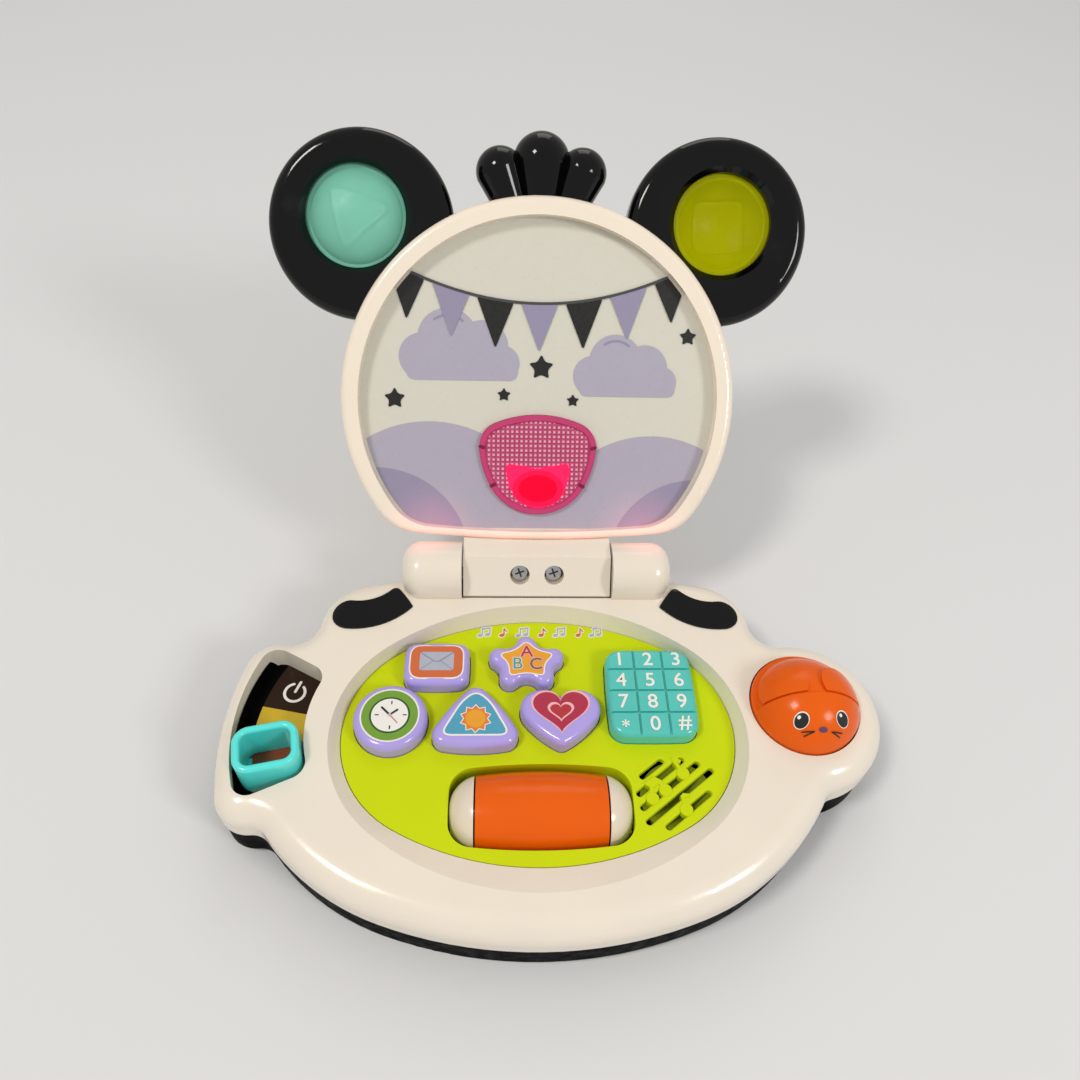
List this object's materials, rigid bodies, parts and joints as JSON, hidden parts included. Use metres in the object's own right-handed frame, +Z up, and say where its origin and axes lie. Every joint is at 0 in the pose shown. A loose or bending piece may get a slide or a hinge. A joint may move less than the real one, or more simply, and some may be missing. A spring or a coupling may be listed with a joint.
{
  "type": "toy laptop computer",
  "caption": "Toddler's toy laptop with an animal-head folding lid, shaped push buttons, number pad, roller, swinging slider ring, dome mouse button and pop-through silicone ear bubbles.",
  "frame": {"origin": "on the table, under the middle of the lime keyboard panel", "axes": "+X to the right of someone using the laptop, +Y away from them towards the hinge, +Z up"},
  "size_m": [0.2494, 0.2602, 0.173],
  "materials": {
    "white_shell": "gloss",
    "black_shell": "gloss",
    "lime_deck": "satin",
    "purple_keys": "gloss",
    "teal_pad": "gloss",
    "orange_parts": "gloss",
    "white_cradle": "gloss",
    "tray": "satin",
    "inner_plastic": "satin",
    "screen": "satin",
    "lens": "gloss",
    "teal_silicone": "satin",
    "lime_silicone": "satin",
    "mat_silicone": "matte",
    "board": "satin",
    "steel": "satin",
    "cells": "satin"
  },
  "bodies": {
    "base": {"upper_shell": "white_shell", "lower_shell": "black_shell", "left_shoulder_inlay": "black_shell", "right_shoulder_inlay": "black_shell", "battery_door": "black_shell", "keyboard_panel": "lime_deck", "roller_cradle": "white_cradle", "slider_tray": "tray", "key_mat": "mat_silicone", "circuit_board": "board", "mouse_switch": "board", "roller_axle": "steel", "hinge_pins": "steel", "case_screws": "steel", "battery_door_screw": "steel", "battery_contacts": "steel", "speaker": "steel", "cells": "cells"},
    "lid": {"hinge_knuckle": "white_shell", "hinge_screws": "steel", "lid_bezel": "white_shell", "screen_plate": "screen", "light_lens": "lens", "lid_back_shell": "white_shell", "lamp_board": "board", "left_ear_front": "black_shell", "left_ear_back": "black_shell", "right_ear_front": "black_shell", "right_ear_back": "black_shell", "top_tuft": "black_shell", "lid_screws": "steel"},
    "slider": {"slider_ring": "teal_pad", "slider_lever": "inner_plastic"},
    "square_button_body": {"square_button": "purple_keys"},
    "star_button_body": {"star_button": "purple_keys"},
    "round_button_body": {"round_button": "purple_keys"},
    "triangle_button_body": {"triangle_button": "purple_keys"},
    "heart_button_body": {"heart_button": "purple_keys"},
    "number_pad_body": {"number_pad": "teal_pad"},
    "mouse_button_body": {"mouse_button": "orange_parts"},
    "roller_body": {"roller": "orange_parts"},
    "left_ear_bubble_body": {"left_ear_bubble": "teal_silicone"},
    "right_ear_bubble_body": {"right_ear_bubble": "lime_silicone"}
  },
  "joints": [
    {"name": "lid_hinge", "type": "hinge", "parent": "base", "child": "lid", "pos_m": [0, 0.0675, 0.04], "axis": [1, 0, 0], "range_deg": [0, 131]},
    {"name": "square_button_press", "type": "slide", "parent": "base", "child": "square_button_body", "axis": [0, 0, -1], "range_m": [0, 0.002], "stiffness_N_per_m": 400, "springref_m": -0.001},
    {"name": "star_button_press", "type": "slide", "parent": "base", "child": "star_button_body", "axis": [0, 0, -1], "range_m": [0, 0.002], "stiffness_N_per_m": 400, "springref_m": -0.001},
    {"name": "round_button_press", "type": "slide", "parent": "base", "child": "round_button_body", "axis": [0, 0, -1], "range_m": [0, 0.002], "stiffness_N_per_m": 400, "springref_m": -0.001},
    {"name": "triangle_button_press", "type": "slide", "parent": "base", "child": "triangle_button_body", "axis": [0, 0, -1], "range_m": [0, 0.002], "stiffness_N_per_m": 400, "springref_m": -0.001},
    {"name": "heart_button_press", "type": "slide", "parent": "base", "child": "heart_button_body", "axis": [0, 0, -1], "range_m": [0, 0.002], "stiffness_N_per_m": 400, "springref_m": -0.001},
    {"name": "number_pad_press", "type": "slide", "parent": "base", "child": "number_pad_body", "axis": [0, 0, -1], "range_m": [0, 0.002], "stiffness_N_per_m": 400, "springref_m": -0.001},
    {"name": "mouse_button_press", "type": "slide", "parent": "base", "child": "mouse_button_body", "axis": [0, 0, -1], "range_m": [0, 0.0025], "stiffness_N_per_m": 400, "springref_m": -0.001},
    {"name": "roller_spin", "type": "hinge", "parent": "base", "child": "roller_body", "pos_m": [0, -0.0287, 0.0208], "axis": [1, 0, 0], "continuous": true},
    {"name": "slider_swing", "type": "hinge", "parent": "base", "child": "slider", "pos_m": [-0.042, 0.0004, 0.0105], "axis": [0, 0, 1], "range_deg": [-28.5, 0]},
    {"name": "left_bubble_pop", "type": "slide", "parent": "lid", "child": "left_ear_bubble_body", "axis": [0, 0.7923, -0.6101], "range_m": [0, 0.0155], "deforming": ["left_ear_bubble"]},
    {"name": "right_bubble_pop", "type": "slide", "parent": "lid", "child": "right_ear_bubble_body", "axis": [0, -0.7923, 0.6101], "range_m": [0, 0.0155], "deforming": ["right_ear_bubble"]}
  ]
}
